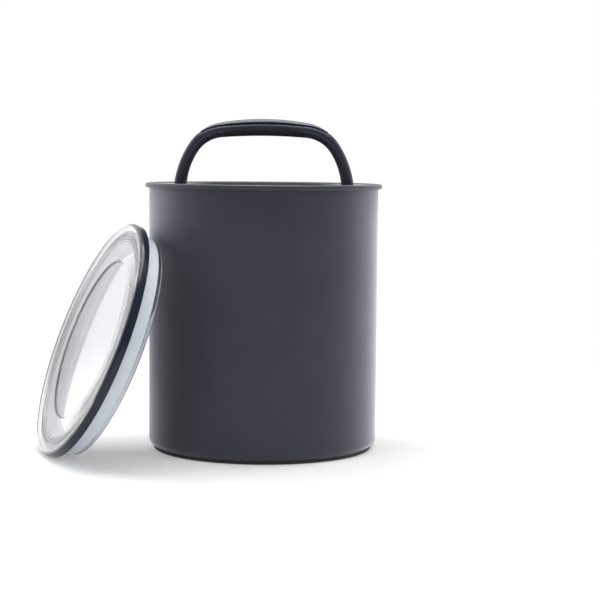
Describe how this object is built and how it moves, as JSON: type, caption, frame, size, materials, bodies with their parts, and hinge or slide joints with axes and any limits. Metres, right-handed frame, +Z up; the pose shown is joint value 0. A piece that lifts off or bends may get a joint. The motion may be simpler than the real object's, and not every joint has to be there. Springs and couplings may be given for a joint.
{
  "type": "coffee canister with valve",
  "caption": "Matte steel coffee canister with a push-down inner lid whose folding arched handle works a vent valve, and a clear gasketed lid leaning on its side.",
  "frame": {"origin": "on the canister's axis, on the surface it stands on", "axes": "+Z up the canister's axis; +X to the right as seen from the front, along the inner lid's cross shaft; +Y to the back, the way the handle folds"},
  "size_m": [0.2588, 0.2171, 0.2469],
  "materials": {
    "can_paint": "matte",
    "pad_rubber": "matte",
    "lid_clear": "gloss",
    "gasket_silicone": "satin",
    "plunger_plastic": "matte",
    "seal_rubber": "matte",
    "screw_steel": "satin",
    "handle_plastic": "satin",
    "cap_plastic": "satin",
    "grip_rubber": "textured",
    "cam_plastic": "satin"
  },
  "bodies": {
    "canister": {"canister_shell": "can_paint", "base_pad": "pad_rubber"},
    "lid": {"lid_cover": "lid_clear", "lid_gasket": "gasket_silicone"},
    "plunger": {"plunger_top": "plunger_plastic", "plunger_base": "plunger_plastic", "wiper_seal": "seal_rubber", "plate_screws": "screw_steel", "bearing_cap_left": "plunger_plastic", "bearing_cap_right": "plunger_plastic", "cap_screws": "screw_steel"},
    "handle": {"handle_arch": "handle_plastic", "handle_cap": "cap_plastic", "handle_grip": "grip_rubber", "handle_screws": "screw_steel", "cross_shaft": "screw_steel", "lift_cam": "cam_plastic"},
    "valve": {"valve_stem": "cam_plastic", "valve_plate": "cam_plastic", "valve_seal": "seal_rubber", "relief_flap": "seal_rubber", "valve_screw": "screw_steel"}
  },
  "joints": [
    {"name": "plunger_slide", "type": "slide", "parent": "canister", "child": "plunger", "axis": [0, 0, 1], "range_m": [-0.154, 0.08]},
    {"name": "handle_fold", "type": "hinge", "parent": "plunger", "child": "handle", "pos_m": [0, 0, 0.1855], "axis": [-1, 0, 0], "range_deg": [0, 90]},
    {"name": "valve_lift", "type": "slide", "parent": "plunger", "child": "valve", "axis": [0, 0, 1], "range_m": [-0.0025, 0]},
    {"name": "lid_lift", "type": "slide", "parent": "canister", "child": "lid", "axis": [-0.88, -0.2961, 0.3714], "range_m": [0, 0.15]}
  ],
  "couplings": [
    {"joint": "valve_lift", "follows": "handle_fold", "m_per_rad": -0.00159}
  ]
}
